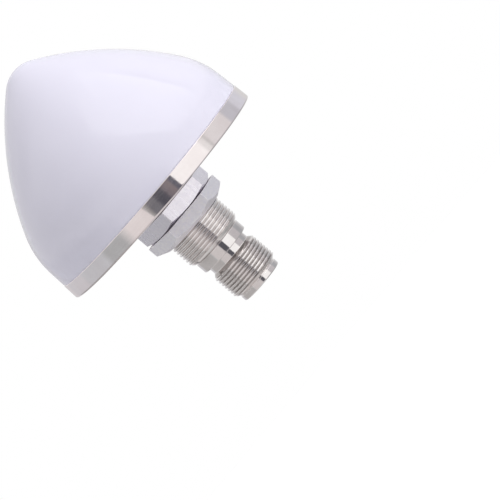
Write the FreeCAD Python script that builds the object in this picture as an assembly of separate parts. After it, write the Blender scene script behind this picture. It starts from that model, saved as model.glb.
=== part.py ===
"""Dome antenna for satellite positioning, on a threaded stem with a coaxial socket.

Millimetres, +Z up through the nose of the dome. The origin is the centre of the
socket's open face, which is the lowest point of the part.
"""
import FreeCAD, Part
import math
import os

# Coaxial socket: outside, from the open face upwards
mate_thread_d = 15.875      # 5/8 inch, 24 turns to the inch
pilot_d = 13.65
pilot_len = 1.65
pilot_round = 0.7
groove_depth = 0.2
groove_w = 0.4
mate_thread_len = 9.85
mate_thread_lead_in = 1.2
mate_thread_run_out = 1.85
shank_d = 13.4
shank_len = 1.05
collar_d = 16.3
collar_len = 3.95
collar_bevel = 0.85
edge_break = 0.15

# Coaxial socket: inside
socket_bore_d = 8.5
mouth_bevel = 0.35
seat_depth = 9.1            # open face to the shoulder that a plug stops against
air_bore_d = 7.0
seat_wall = 1.1
bead_step = 1.1             # how far the bead reaches out past the bore in front of it
spigot_wall = 1.8
spigot_len = 8.0

# Centre contact
contact_d = 3.04
contact_recess = 4.9        # open face to the contact's tip
pin_hole_d = 1.66
pin_hole_depth = 5.6
slot_w = 0.3
slot_len = 4.2
contact_waist_d = 2.4
contact_tail = 2.0
bead_len = 4.0
bead_nose = 0.8

# Stiff coaxial lead inside the stem
lead_d = 3.58
lead_core_d = 0.92
lead_insulation_d = 2.98
ferrule_len = 8.2
ferrule_land = 0.6

# Stem and the two nuts: bare thread is drawn at its crests, and thread inside
# a nut at its pitch line, where the flanks of the two meet
stem_thread_d = 18.7
stem_thread_pitch = 1.1
stem_bore_d = 9.0
stem_end_bevel = 0.9
stem_free_len = 7.8         # thread left bare below the lower nut
nut_across_flats = 23.3
nut_edge_round = 0.3
mounting_nut_h = 4.7
mounting_nut_land = 0.95
mounting_nut_cone_deg = 29.0
mounting_nut_turn_deg = 3.1
retaining_nut_h = 4.8
retaining_nut_land = 0.3
retaining_nut_cone_deg = 24.0
retaining_nut_turn_deg = 14.6
nut_bore_bevel = 0.3
flange_t = 1.6
flange_land = 3.25

# Base plate
base_d = 72.0
rim_h = 4.75
rim_draft = 0.2
rim_round = 0.6
rim_wall = 1.95
floor_t = 2.4
boss_h = 1.6
boss_land = 4.15

# Radome
radome_wall = 2.2
radome_step = 0.1
skirt_h = 5.1
skirt_draft_deg = 2.3
shoulder_r = 26.0
flank_r = 86.5
flank_foot_deg = 61.35      # slope of the flank where the shoulder takes over
nose_r = 9.1
lip_wall = 1.7
lip_root = 1.9

# Circuit board and what stands on it
board_gap = 4.25
board_t = 1.6
board_margin = 4.0
post_across_flats = 4.5
post_count = 4
post_spigot_d = 2.8
post_spigot_len = 1.3
screw_d = 2.3
screw_grip = 3.4
screw_head_d = 4.6
screw_head_h = 1.4
screw_slot_w = 0.5
can_side = 30.0
can_h = 4.2
can_t = 0.3
patch_side = 25.0
patch_t = 4.0
patch_bevel = 0.6
pad_t = 0.4
pad_margin = 1.0
feed_offset = 3.2
feed_pin_d = 0.9
feed_head_d = 2.2
feed_head_t = 0.35
feed_tail = 0.8
amplifier_side = 2.0
amplifier_t = 0.75
filter_side = 3.0
filter_t = 1.0
regulator_len = 2.9
regulator_w = 1.6
regulator_t = 1.1
chip_len = 1.0
chip_w = 0.5
chip_pitch = 1.4
chip_count = 6

# Square-cut rubber seals: side of each one's section
stem_seal_side = 1.2
connector_seal_side = 1.0
radome_seal_side = 1.4

# Clearances
seal_gap = 0.05
slide_gap = 0.05
hub_gap = 0.1
lip_gap = 0.1
lip_floor_gap = 0.65
can_gap = 1.2
screw_gap = 0.15
solder_gap = 0.04
seal_groove_slack = 0.3

# Heights that follow from the stack
groove_top = pilot_len + groove_w
mate_thread_top = groove_top + mate_thread_len
shank_top = mate_thread_top + shank_len
collar_top = shank_top + collar_len
mounting_nut_foot = collar_top + stem_free_len
nut_joint = mounting_nut_foot + mounting_nut_h
boss_foot = nut_joint + retaining_nut_h
rim_foot = boss_foot + boss_h
rim_top = rim_foot + rim_h
floor_top = rim_foot + floor_t
flange_top = floor_top + flange_t
lip_foot = floor_top + lip_floor_gap
radome_groove_floor = lip_foot - seal_gap - radome_seal_side
can_foot = flange_top + can_gap
board_foot = can_foot + can_h
board_top = board_foot + board_t
patch_foot = board_top + pad_t
patch_top = patch_foot + patch_t
spigot_top = collar_top + spigot_len
connector_seal_mid = collar_top + spigot_len / 4
bead_foot = seat_depth + seat_wall
bead_top = bead_foot + bead_len
contact_top = bead_top + contact_tail
cup_floor = contact_top - contact_tail + slide_gap
sleeve_seat = contact_top + ferrule_land
sleeve_foot = sleeve_seat + slide_gap

# Radii that pieces share
stem_r = stem_thread_d / 2
stem_pitch_depth = stem_thread_pitch * math.sqrt(3) * 3 / 16    # a 60 degree thread's
stem_pitch_r = stem_r - stem_pitch_depth
air_r = air_bore_d / 2
rear_bore_r = air_r + bead_step
spigot_r = rear_bore_r + spigot_wall
stem_counterbore_r = spigot_r + slide_gap
base_r = base_d / 2
cup_r = base_r - rim_wall
lip_r = cup_r - lip_gap
lip_inner_r = lip_r - lip_wall
radome_foot_r = base_r - rim_draft - radome_step
board_r = lip_inner_r - board_gap
post_circle_r = board_r - board_margin
flange_r = stem_r + flange_land
boss_r = stem_r + boss_land
stem_seal_r = (stem_r + hub_gap + flange_r) / 2
core_hole_r = lead_core_d / 2 + solder_gap
feed_hole_r = feed_pin_d / 2 + solder_gap


def turned(start, *steps):
    """Turn a closed half section, given as (radius, height) points, about Z.

    A step is a point joined by a straight line, or a pair of points where the
    section runs on an arc through the first to the second.
    """
    edges = []
    here = FreeCAD.Vector(start[0], 0, start[1])
    for step in list(steps) + [start]:
        if isinstance(step[0], tuple):
            middle = FreeCAD.Vector(step[0][0], 0, step[0][1])
            end = FreeCAD.Vector(step[1][0], 0, step[1][1])
            edges.append(Part.Arc(here, middle, end).toShape())
            here = end
            continue
        end = FreeCAD.Vector(step[0], 0, step[1])
        if here.distanceToPoint(end) > 1e-6:
            edges.append(Part.LineSegment(here, end).toShape())
        here = end
    face = Part.Face(Part.Wire(edges))
    solid = face.revolve(FreeCAD.Vector(0, 0, 0), FreeCAD.Vector(0, 0, 1), 360)
    return upright(solid)


def upright(shape):
    """Return the one solid of a shape, with its faces pointing outwards."""
    solid = shape.Solids[0] if shape.Solids else Part.Solid(shape.Shells[0])
    if solid.Volume < 0:
        solid.reverse()
    return solid


def cylinder(radius, foot, top, x=0.0, y=0.0):
    """A plain round bar along Z, from one height to another."""
    return Part.makeCylinder(radius, top - foot, FreeCAD.Vector(x, y, foot))


def block(length, width, foot, top, x=0.0, y=0.0):
    """A rectangular block centred on a point, from one height to another."""
    corner = FreeCAD.Vector(x - length / 2, y - width / 2, foot)
    return Part.makeBox(length, width, top - foot, corner)


def hexagon(across_flats, foot, top, turn_deg=0.0):
    """A six-sided bar with one corner turned by an angle from +X."""
    reach = across_flats / math.sqrt(3)
    corners = []
    for side in range(7):
        angle = math.radians(turn_deg + 60 * side)
        corners.append(FreeCAD.Vector(reach * math.cos(angle), reach * math.sin(angle), foot))
    face = Part.Face(Part.makePolygon(corners))
    return face.extrude(FreeCAD.Vector(0, 0, top - foot))


def square_ring(middle_r, height, side):
    """A lathe-cut rubber ring of square section, centred on a height."""
    return turned(
        (middle_r - side / 2, height - side / 2),
        (middle_r + side / 2, height - side / 2),
        (middle_r + side / 2, height + side / 2),
        (middle_r - side / 2, height + side / 2),
    )


def around(shape, count, radius):
    """Copies of a shape set evenly on a circle about Z."""
    copies = []
    for index in range(count):
        copy = shape.copy()
        copy.translate(FreeCAD.Vector(radius, 0, 0))
        copy.rotate(FreeCAD.Vector(0, 0, 0), FreeCAD.Vector(0, 0, 1), 360 * index / count)
        copies.append(copy)
    return copies


def save(node, *solids):
    """Write one node, a single solid or a group of like ones, as STEP."""
    shape = solids[0] if len(solids) == 1 else Part.makeCompound(list(solids))
    shape.exportStep("parts/" + node + ".step")


def make_connector_shell():
    """Socket body, turned from bar and plated, with a spigot up into the stem."""
    pilot_r = pilot_d / 2
    groove_r = pilot_r - groove_depth
    thread_r = mate_thread_d / 2
    shank_r = shank_d / 2
    collar_r = collar_d / 2
    bore_r = socket_bore_d / 2
    bend = pilot_round * (1 - math.sqrt(0.5))
    groove_half = (connector_seal_side + seal_groove_slack) / 2
    seal_floor_r = stem_counterbore_r - connector_seal_side - 2 * seal_gap
    lead_in_r = groove_r + edge_break
    return turned(
        (bore_r + mouth_bevel, 0),
        (pilot_r - pilot_round, 0),
        ((pilot_r - bend, bend), (pilot_r, pilot_round)),
        (pilot_r, pilot_len),
        (groove_r, pilot_len),
        (groove_r, groove_top),
        (lead_in_r, groove_top),
        (thread_r, groove_top + mate_thread_lead_in),
        (thread_r, mate_thread_top - mate_thread_run_out),
        (shank_r, mate_thread_top),
        (shank_r, shank_top),
        (collar_r - collar_bevel, shank_top),
        (collar_r, shank_top + collar_bevel),
        (collar_r, collar_top - edge_break),
        (collar_r - edge_break, collar_top),
        (spigot_r, collar_top),
        (spigot_r, connector_seal_mid - groove_half),
        (seal_floor_r, connector_seal_mid - groove_half),
        (seal_floor_r, connector_seal_mid + groove_half),
        (spigot_r, connector_seal_mid + groove_half),
        (spigot_r, spigot_top - edge_break),
        (spigot_r - edge_break, spigot_top),
        (rear_bore_r, spigot_top),
        (rear_bore_r, bead_foot),
        (air_r, bead_foot),
        (air_r, seat_depth),
        (bore_r, seat_depth),
        (bore_r, mouth_bevel),
    )


def make_connector_seal():
    """Rubber ring between the socket's spigot and the stem's counterbore."""
    middle_r = stem_counterbore_r - seal_gap - connector_seal_side / 2
    return square_ring(middle_r, connector_seal_mid, connector_seal_side)


def make_contact_insulator():
    """White plastic bead that holds the centre contact on the axis."""
    front_r = air_r - slide_gap
    waist_r = contact_waist_d / 2 + solder_gap
    body_r = contact_d / 2 + solder_gap
    return turned(
        (body_r, bead_foot - bead_nose),
        (front_r, bead_foot - bead_nose),
        (front_r, bead_foot),
        (rear_bore_r - slide_gap, bead_foot),
        (rear_bore_r - slide_gap, bead_top),
        (waist_r, bead_top),
        (waist_r, bead_foot),
        (body_r, bead_foot),
    )


def make_centre_contact():
    """Gold-plated socket contact: four sprung fingers in front, a cup for the wire behind."""
    body_r = contact_d / 2
    hole_r = pin_hole_d / 2
    waist_r = contact_waist_d / 2
    tip_bevel = (body_r - hole_r) / 3
    hole_end = contact_recess + pin_hole_depth
    blank = turned(
        (hole_r + tip_bevel, contact_recess),
        (body_r - tip_bevel, contact_recess),
        (body_r, contact_recess + tip_bevel),
        (body_r, bead_foot - slide_gap),
        (waist_r, bead_foot - slide_gap),
        (waist_r, contact_top),
        (core_hole_r, contact_top),
        (core_hole_r, cup_floor),
        (0, cup_floor),
        (0, hole_end + hole_r / 2),
        (hole_r, hole_end),
        (hole_r, contact_recess + tip_bevel),
    )
    slot_top = contact_recess + slot_len
    one_slot = block(contact_d * 2, slot_w, contact_recess - 1, slot_top)
    cross_slot = block(slot_w, contact_d * 2, contact_recess - 1, slot_top)
    return upright(blank.cut([one_slot, cross_slot]))


def make_lead_ferrule():
    """Brass sleeve that clamps the bead and takes the outer tube of the lead."""
    outer_r = rear_bore_r - slide_gap
    foot = bead_top + slide_gap
    top = foot + ferrule_len
    tube_r = lead_d / 2 + solder_gap
    chamber_r = (outer_r + tube_r) / 2
    return turned(
        (chamber_r, foot),
        (outer_r, foot),
        (outer_r, top - edge_break),
        (outer_r - edge_break, top),
        (tube_r, top),
        (tube_r, sleeve_seat),
        (chamber_r, sleeve_seat),
    )


def make_lead_sleeve():
    """Copper tube of the stiff coaxial lead, soldered to the board above."""
    bar = cylinder(lead_d / 2, sleeve_foot, board_foot)
    inside = cylinder(lead_insulation_d / 2 + solder_gap, sleeve_foot, board_foot)
    return upright(bar.cut(inside))


def make_lead_insulation():
    """White plastic between the tube and the wire of the lead."""
    bar = cylinder(lead_insulation_d / 2, sleeve_foot, board_foot)
    return upright(bar.cut(cylinder(core_hole_r, sleeve_foot, board_foot)))


def make_lead_core():
    """Silvered wire from the cup of the centre contact into the board."""
    return cylinder(lead_core_d / 2, cup_floor + slide_gap, board_top - slide_gap)


def make_stem():
    """Threaded tube, flanged inside the base and pulled down by the retaining nut."""
    bore_r = stem_bore_d / 2
    counterbore_top = spigot_top + slide_gap
    bevel = edge_break * 2
    return turned(
        (stem_counterbore_r + bevel, collar_top),
        (stem_r - stem_end_bevel, collar_top),
        (stem_r, collar_top + stem_end_bevel),
        (stem_r, mounting_nut_foot - stem_pitch_depth),
        (stem_pitch_r, mounting_nut_foot),
        (stem_pitch_r, boss_foot),
        (stem_r, boss_foot + stem_pitch_depth),
        (stem_r, floor_top),
        (flange_r, floor_top),
        (flange_r, flange_top - edge_break),
        (flange_r - edge_break, flange_top),
        (bore_r, flange_top),
        (bore_r, counterbore_top),
        (stem_counterbore_r, counterbore_top),
        (stem_counterbore_r, collar_top + bevel),
    )


def make_nut(foot, top, face_r, cone_deg, turn_deg):
    """Hexagon nut with a cone turned on its lower end, outside a flat face."""
    bar = hexagon(nut_across_flats, foot, top, turn_deg)
    upright_edges = [edge for edge in bar.Edges if abs(edge.tangentAt(edge.FirstParameter).z) > 0.99]
    bar = bar.makeFillet(nut_edge_round, upright_edges)
    bore_r = stem_pitch_r + slide_gap
    outside_r = nut_across_flats
    rise = (outside_r - face_r) * math.tan(math.radians(cone_deg))
    envelope = turned(
        (bore_r + nut_bore_bevel, foot),
        (face_r, foot),
        (outside_r, foot + rise),
        (outside_r, top + rise),
        (bore_r + nut_bore_bevel, top + rise),
        (bore_r + nut_bore_bevel, top),
        (bore_r, top - nut_bore_bevel),
        (bore_r, foot + nut_bore_bevel),
    )
    return upright(bar.common(envelope))


def make_mounting_nut():
    """Lower nut, which clamps a bracket; its cone runs in almost to the thread."""
    face_r = stem_r + mounting_nut_land
    return make_nut(mounting_nut_foot, nut_joint, face_r,
                    mounting_nut_cone_deg, mounting_nut_turn_deg)


def make_retaining_nut():
    """Upper nut, which holds the stem in the base plate."""
    face_r = nut_across_flats / 2 - retaining_nut_land
    return make_nut(nut_joint, boss_foot, face_r,
                    retaining_nut_cone_deg, retaining_nut_turn_deg)


def make_base_plate():
    """Plated disc with the polished rim, the boss for the nut and the seal grooves."""
    hub_r = stem_r + hub_gap
    bend = rim_round * (1 - math.sqrt(0.5))
    stem_groove_half = stem_seal_side / 2 + seal_groove_slack / 2
    stem_groove_floor = floor_top - stem_seal_side - seal_gap
    plate = turned(
        (hub_r, boss_foot),
        (boss_r - edge_break, boss_foot),
        (boss_r, boss_foot + edge_break),
        (boss_r, rim_foot),
        (base_r - rim_round, rim_foot),
        ((base_r - bend, rim_foot + bend), (base_r, rim_foot + rim_round)),
        (base_r - rim_draft, rim_top - edge_break),
        (base_r - rim_draft - edge_break, rim_top),
        (cup_r, rim_top),
        (cup_r, radome_groove_floor),
        (lip_inner_r, radome_groove_floor),
        (lip_inner_r, floor_top),
        (stem_seal_r + stem_groove_half, floor_top),
        (stem_seal_r + stem_groove_half, stem_groove_floor),
        (stem_seal_r - stem_groove_half, stem_groove_floor),
        (stem_seal_r - stem_groove_half, floor_top),
        (hub_r, floor_top),
    )
    depth = post_spigot_len + slide_gap
    hole = cylinder(post_spigot_d / 2 + slide_gap, floor_top - depth, floor_top + 1)
    return upright(plate.cut(around(hole, post_count, post_circle_r)))


def make_stem_seal():
    """Rubber ring in the base plate's groove, under the stem's flange."""
    return square_ring(stem_seal_r, floor_top - seal_gap - stem_seal_side / 2, stem_seal_side)


def make_radome_seal():
    """Rubber ring in the base plate's groove, under the radome's lip."""
    middle_r = (cup_r + lip_inner_r) / 2
    return square_ring(middle_r, radome_groove_floor + radome_seal_side / 2, radome_seal_side)


def dome_arcs():
    """Work out where the nose, flank and shoulder arcs of the dome meet.

    The arcs join with a common tangent. Their angles are measured from the
    level tangent at the nose, and the nose angle is the one that lets the
    chain end on the axis. Returns the angles and the three centres.
    """
    draft = math.radians(skirt_draft_deg)
    foot = math.radians(flank_foot_deg)
    end = math.pi / 2 - draft
    shoulder_top_r = radome_foot_r - skirt_h * math.tan(draft)
    shoulder_x = shoulder_top_r - shoulder_r * math.sin(end)
    shoulder_z = rim_top + skirt_h - shoulder_r * math.cos(end)
    flank_x = shoulder_x - (flank_r - shoulder_r) * math.sin(foot)
    flank_z = shoulder_z - (flank_r - shoulder_r) * math.cos(foot)
    nose_angle = math.asin(-flank_x / (flank_r - nose_r))
    nose_z = flank_z + (flank_r - nose_r) * math.cos(nose_angle)
    centres = ((0.0, nose_z), (flank_x, flank_z), (shoulder_x, shoulder_z))
    return (0.0, nose_angle, foot, end), centres


def dome_side(inset, upwards=False):
    """The dome's half section, moved inwards by an inset, as steps for turning.

    The first step is a point, and each later one is the middle and the end of
    an arc, from the nose down to the skirt or from the skirt up.
    """
    angles, centres = dome_arcs()
    arcs = list(zip((nose_r, flank_r, shoulder_r), centres, angles[:-1], angles[1:]))
    if upwards:
        arcs = [(radius, centre, end, start) for radius, centre, start, end in reversed(arcs)]

    def on_arc(radius, centre, angle):
        reach = radius - inset
        return centre[0] + reach * math.sin(angle), centre[1] + reach * math.cos(angle)

    first = arcs[0]
    steps = [on_arc(first[0], first[1], first[2])]
    for radius, centre, start, end in arcs:
        middle = on_arc(radius, centre, (start + end) / 2)
        steps.append((middle, on_arc(radius, centre, end)))
    return steps


def make_radome():
    """Moulded dome of even wall, with a lip that sits inside the base plate's rim."""
    outside = dome_side(0.0)
    inside = dome_side(radome_wall, upwards=True)
    draft = math.radians(skirt_draft_deg)
    slope = math.tan(draft)
    wall_r = radome_foot_r - radome_wall / math.cos(draft)
    ramp_foot = rim_top + lip_root
    ramp_rise = (wall_r - lip_root * slope - lip_inner_r) / (1 + slope)
    return turned(
        *outside,
        (radome_foot_r - edge_break * slope, rim_top + edge_break),
        (radome_foot_r - edge_break, rim_top),
        (lip_r, rim_top),
        (lip_r, lip_foot),
        (lip_inner_r, lip_foot),
        (lip_inner_r, ramp_foot),
        (lip_inner_r + ramp_rise, ramp_foot + ramp_rise),
        *inside,
    )


def make_circuit_board():
    """Round fibreglass board, bored for its screws, the lead's wire and the feed pin."""
    disc = cylinder(board_r, board_foot, board_top)
    screw_hole = cylinder(screw_d / 2 + screw_gap, board_foot - 1, board_top + 1)
    core_hole = cylinder(core_hole_r, board_foot - 1, board_top + 1)
    feed_hole = cylinder(feed_hole_r, board_foot - 1, board_top + 1, feed_offset)
    return upright(disc.cut(around(screw_hole, post_count, post_circle_r) + [core_hole, feed_hole]))


def make_board_posts():
    """Brass posts pressed into the base plate, tapped for the board's screws."""
    post = hexagon(post_across_flats, floor_top, board_foot)
    spigot = cylinder(post_spigot_d / 2, floor_top - post_spigot_len, floor_top)
    tapping = cylinder(screw_d / 2 + slide_gap, board_foot - screw_grip - 1, board_foot + 1)
    return around(upright(post.fuse(spigot).removeSplitter().cut(tapping)), post_count, post_circle_r)


def make_board_screws():
    """Slotted screws that hold the board down on its posts."""
    head_r = screw_head_d / 2
    head_top = board_top + screw_head_h
    brim = board_top + screw_head_h / 2
    screw = turned(
        (0, board_foot - screw_grip),
        (screw_d / 2 - edge_break, board_foot - screw_grip),
        (screw_d / 2, board_foot - screw_grip + edge_break),
        (screw_d / 2, board_top),
        (head_r, board_top),
        (head_r, brim),
        (head_r - screw_head_h / 2, head_top),
        (0, head_top),
    )
    slot = block(screw_head_d * 2, screw_slot_w, brim, head_top + 1)
    return around(upright(screw.cut(slot)), post_count, post_circle_r)


def make_shield_can():
    """Tinned sheet lid over the amplifier, soldered round its rim to the board's underside."""
    outside = block(can_side, can_side, can_foot, board_foot)
    inside_side = can_side - 2 * can_t
    inside = block(inside_side, inside_side, can_foot + can_t, board_foot + 1)
    lead_hole = cylinder(lead_d / 2 + slide_gap, can_foot - 1, can_foot + 1)
    return upright(outside.cut([inside, lead_hole]))


def make_patch_pad():
    """Sticky pad that holds the ceramic patch on the board."""
    side = patch_side - 2 * pad_margin
    pad = block(side, side, board_top, patch_foot)
    return upright(pad.cut(cylinder(feed_head_d / 2, board_top - 1, patch_foot + 1, feed_offset)))


def make_ceramic_patch():
    """Square ceramic aerial element with bevelled corners and a hole for the feed pin."""
    slab = block(patch_side, patch_side, patch_foot, patch_top)
    corners = [edge for edge in slab.Edges if abs(edge.tangentAt(edge.FirstParameter).z) > 0.99]
    slab = slab.makeChamfer(patch_bevel, corners)
    return upright(slab.cut(cylinder(feed_hole_r, patch_foot - 1, patch_top + 1, feed_offset)))


def make_feed_pin():
    """Headed pin from the top of the patch through the board."""
    shank = cylinder(feed_pin_d / 2, board_foot - feed_tail, patch_top, feed_offset)
    head = cylinder(feed_head_d / 2, patch_top, patch_top + feed_head_t, feed_offset)
    return upright(shank.fuse(head).removeSplitter())


def hung_chip(length, width, thickness, x, y):
    """A block soldered to the board's underside."""
    return block(length, width, board_foot - thickness, board_foot, x, y)


def make_chip_parts():
    """Rows of small resistors and capacitors between the larger chips."""
    row_y = can_side / 5
    chips = []
    for index in range(chip_count):
        x = (index - (chip_count - 1) / 2) * chip_pitch
        for y in (-row_y, row_y):
            chips.append(hung_chip(chip_w, chip_len, chip_w, x, y))
    return chips


os.makedirs("parts", exist_ok=True)

save("connector_shell", make_connector_shell())
save("connector_seal", make_connector_seal())
save("contact_insulator", make_contact_insulator())
save("centre_contact", make_centre_contact())
save("lead_ferrule", make_lead_ferrule())
save("lead_sleeve", make_lead_sleeve())
save("lead_insulation", make_lead_insulation())
save("lead_core", make_lead_core())
save("stem", make_stem())
save("stem_seal", make_stem_seal())
save("mounting_nut", make_mounting_nut())
save("retaining_nut", make_retaining_nut())
save("base_plate", make_base_plate())
save("radome", make_radome())
save("radome_seal", make_radome_seal())
save("board_posts", *make_board_posts())
save("board_screws", *make_board_screws())
save("circuit_board", make_circuit_board())
save("shield_can", make_shield_can())
save("patch_pad", make_patch_pad())
save("ceramic_patch", make_ceramic_patch())
save("feed_pin", make_feed_pin())

chip_line = can_side / 3.5
save("amplifier_chip", hung_chip(amplifier_side, amplifier_side, amplifier_t, -chip_line, 0))
save("filter_chip", hung_chip(filter_side, filter_side, filter_t, chip_line, 0))
save("regulator_chip", hung_chip(regulator_len, regulator_w, regulator_t, 0, -chip_line))
save("chip_parts", *make_chip_parts())
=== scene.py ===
import math

import bpy
import numpy as np
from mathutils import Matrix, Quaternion, Vector


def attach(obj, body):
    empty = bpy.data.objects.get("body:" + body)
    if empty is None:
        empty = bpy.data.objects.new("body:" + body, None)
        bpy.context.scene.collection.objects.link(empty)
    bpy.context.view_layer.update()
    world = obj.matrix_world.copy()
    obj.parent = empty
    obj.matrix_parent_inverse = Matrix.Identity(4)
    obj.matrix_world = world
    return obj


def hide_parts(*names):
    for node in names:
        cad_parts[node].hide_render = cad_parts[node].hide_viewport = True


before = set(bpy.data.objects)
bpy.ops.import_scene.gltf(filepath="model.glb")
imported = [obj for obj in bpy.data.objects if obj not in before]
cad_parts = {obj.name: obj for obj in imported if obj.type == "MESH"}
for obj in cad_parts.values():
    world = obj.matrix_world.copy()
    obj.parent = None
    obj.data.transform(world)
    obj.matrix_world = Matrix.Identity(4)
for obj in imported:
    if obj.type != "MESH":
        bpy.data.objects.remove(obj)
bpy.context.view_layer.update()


# Socket body: a coaxial socket with its coupling thread outside and a stepped
# bore inside. Brass bar turned on a lathe, threaded and nickel plated, with a
# spigot pushed up into the stem.
mm = 0.001
full_turn = 2 * math.pi

mate_thread_r = 7.9375
mate_thread_pitch = 25.4 / 24
mate_thread_start = 0.7
mate_shade_r = mate_thread_r + 0.12
pitch_steps = 20
pilot_r = 6.825
pilot_round = 0.35
pilot_len = 1.65
groove_r = 6.625
groove_top = 2.05
lead_in_top = 2.9
mate_thread_top = 10.05
run_out_top = 11.3
shank_r = 6.7
collar_foot = 13.3
collar_r = 8.15
collar_bevel = 0.2
collar_edge = 16.5
collar_top = 16.9
joint_depth = 0.45
joint_slope = 0.05
spigot_r = 6.4
spigot_top = 24.9
seal_rise = 2.0
seal_mid = collar_top + seal_rise
seal_groove_r = 5.35
seal_groove_half = 0.65
socket_bore_r = 4.25
mouth_bevel = 0.35
seat_depth = 9.1
air_bore_r = 3.5
bead_foot = 10.2
rear_bore_r = 4.6
edge_break = 0.15


def eased(section, ease, steps=4):
    """Round the corners of closed sections, an array (corner, column, [radius, height]).

    At a corner P with unit directions u and v to its neighbours, the two walls
    are cut back by c = ease / tan(half the corner's angle), or the largest share
    of the shorter wall where that is less. The round is the circular arc written
    as a rational quadratic curve over P + cu, P and P + cv with the middle weight
    sin(half the angle). One row on each wall, a little past the cut, keeps flat
    walls flat, so a corner becomes steps + 3 rows.
    """
    largest_share = 0.42
    past_cut = 1.15
    to_last = np.roll(section, 1, axis=0) - section
    to_next = np.roll(section, -1, axis=0) - section
    last_len = np.linalg.norm(to_last, axis=-1, keepdims=True)
    next_len = np.linalg.norm(to_next, axis=-1, keepdims=True)
    u = to_last / last_len
    v = to_next / next_len
    half = np.arccos(np.clip((u * v).sum(axis=-1, keepdims=True), -1, 1)) / 2
    round_r = np.broadcast_to(np.asarray(ease, float).reshape(-1, 1, 1), half.shape)
    cut = np.minimum(round_r / np.tan(half), largest_share * np.minimum(last_len, next_len))
    t = np.linspace(0, 1, steps + 1)[:, None, None, None]
    first, middle, last = (1 - t) ** 2, 2 * np.sin(half) * t * (1 - t), t ** 2
    arc = first * (section + u * cut) + middle * section + last * (section + v * cut)
    arc = arc / (first + middle + last)
    before = section + u * cut * past_cut
    after = section + v * cut * past_cut
    rows = np.concatenate([before[None], arc, after[None]])
    return rows.transpose(1, 0, 2, 3).reshape(-1, section.shape[1], 2)


def between(height, low, high, slack=1e-6):
    """Whether heights lie between two others."""
    return (height > low - slack) & (height < high + slack)


def divided(rows, longest, low, high):
    """Split each step whose rows both lie between two heights into equal parts, none longer."""
    step = np.roll(rows, -1, axis=0) - rows
    inside = between(rows[:, 0, 1], low, high) & between(rows[:, 0, 1] + step[:, 0, 1], low, high)
    parts = np.where(inside, np.ceil(np.linalg.norm(step[:, 0], axis=-1) / longest), 1).astype(int)
    parts = np.maximum(parts, 1)
    source = np.repeat(np.arange(len(rows)), parts)
    share = (np.arange(parts.sum()) - np.repeat(np.cumsum(parts) - parts, parts)) / parts[source]
    return rows[source] + share[:, None, None] * step[source]


def threaded(rows, angles, low, high, crest_r, pitch, start=0.0):
    """Cut a right-hand 60 degree thread into the outer wall between two heights.

    The phase ((height - start) / pitch - angle / full turn) runs from 0 to 1 over
    one groove. Folded about its middle it is 0 at the root and 1 at the crest, with
    a straight flank from the root's half width to the crest's edge, which leans 30
    degrees. The broad crest bulges by the square of the way in from its edge. The
    wall is left where it is already lower than the groove.
    """
    depth = 0.46 * pitch
    bulge = 0.015 * pitch
    root_half = 0.07
    crest_edge = 0.60
    height = rows[..., 1]
    phase = ((height - start) / pitch - angles / full_turn) % 1.0
    fold = np.abs(2 * phase - 1)
    flank = np.clip((fold - root_half) / (crest_edge - root_half), 0, 1)
    crest = np.clip((1 - fold) / (1 - crest_edge), 0, 1)
    groove = crest_r - depth * (1 - flank) - bulge * crest ** 2
    outer_wall = between(height, low, high) & (rows[..., 0] > crest_r - 2 * depth)
    radius = np.where(outer_wall, np.minimum(rows[..., 0], groove), rows[..., 0])
    return np.stack([radius, height + 0 * angles], axis=-1)


def round_columns(count):
    """Angles of evenly spaced columns about Z."""
    return np.arange(count) * full_turn / count


def swept(rows, angles):
    """Set section rows round Z: (r cos a, r sin a, z), in metres."""
    rows = np.broadcast_to(rows, (rows.shape[0], len(angles), 2))
    radius, height = rows[..., 0], rows[..., 1]
    return np.stack([radius * np.cos(angles), radius * np.sin(angles), height], axis=-1) * mm


def skinned(name, points):
    """Make an object from a grid of points that closes on itself both ways.

    Point (i, j) makes a face with (i, j+1), (i+1, j+1) and (i+1, j).
    """
    index = np.arange(points.shape[0] * points.shape[1]).reshape(points.shape[:2])
    beside = np.roll(index, -1, axis=1)
    faces = np.stack([index, beside, np.roll(beside, -1, axis=0), np.roll(index, -1, axis=0)], axis=-1)
    return piece_from(name, points.reshape(-1, 3), faces.reshape(-1, 4).tolist())


def piece_from(name, points, faces):
    """Put points and faces into a smooth-shaded mesh object at the origin."""
    mesh = bpy.data.meshes.new(name)
    mesh.from_pydata(points, [], faces)
    mesh.shade_smooth()
    piece = bpy.data.objects.new(name, mesh)
    bpy.context.scene.collection.objects.link(piece)
    return piece


def mark_painted_shade(piece, rows, *zones):
    """Store painted shade in zones of (foot, top, crest radius).

    It is the square of the depth below the crest over the depth at which the
    painted shade is full; it darkens thread roots and joint grooves, where shade falls.
    """
    full_depth = 0.65
    past_top = 0.02
    level = np.zeros(rows.shape[:2])
    for low, high, crest_r in zones:
        depth = np.clip((crest_r - rows[..., 0]) / full_depth, 0, 1) ** 2
        outer_wall = (rows[..., 1] > low) & (rows[..., 1] < high + past_top)
        outer_wall &= rows[..., 0] > crest_r - 2 * full_depth
        level = np.where(outer_wall, depth, level)
    shade_layer = piece.data.attributes.new("painted_root_shade", "FLOAT", "POINT")
    shade_layer.data.foreach_set("value", level.astype(np.float32).ravel())


def column_section(*corners):
    """A closed section that is the same at every angle, from (radius, height) corners."""
    return np.array(corners, float)[:, None, :]


def seat(piece, material, node):
    """Give a piece its material, let it ride on the antenna and stand for its CAD node."""
    piece.data.materials.append(material)
    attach(piece, "root")
    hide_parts(node)


def new_finish(name, **numbers):
    """Start a material; return it, its node tree and its shader with plain numbers set."""
    material = bpy.data.materials.new(name)
    material.use_nodes = True
    tree = material.node_tree
    shader = tree.nodes["Principled BSDF"]
    for label, value in numbers.items():
        shader.inputs[label.replace("_", " ")].default_value = value
    return material, tree, shader


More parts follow.
